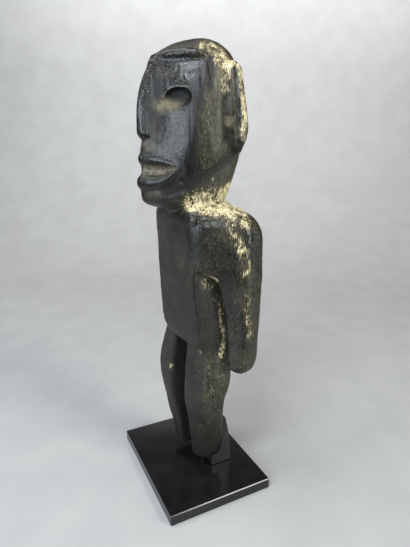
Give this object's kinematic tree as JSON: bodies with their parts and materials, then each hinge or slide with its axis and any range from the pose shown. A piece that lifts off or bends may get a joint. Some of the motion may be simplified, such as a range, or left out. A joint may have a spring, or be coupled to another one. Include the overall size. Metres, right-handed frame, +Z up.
{
  "type": "anthropomorphic idol",
  "caption": "Standing schematic human idol of carved dark stone, with arms held close to its sides, carried by a small block under its left heel on a flat black plate.",
  "frame": {"origin": "middle of the plate's underside", "axes": "+Z up along the figure, -Y to its front, +X to its left"},
  "size_m": [0.102, 0.08, 0.3075],
  "materials": {
    "polished dark stone": "polished, worn matt low down, with pale mineral deposits in the recesses",
    "satin black paint": "satin black"
  },
  "bodies": {
    "root": {"idol": "polished dark stone", "support_block": "satin black paint", "base_plate": "satin black paint"}
  },
  "joints": []
}
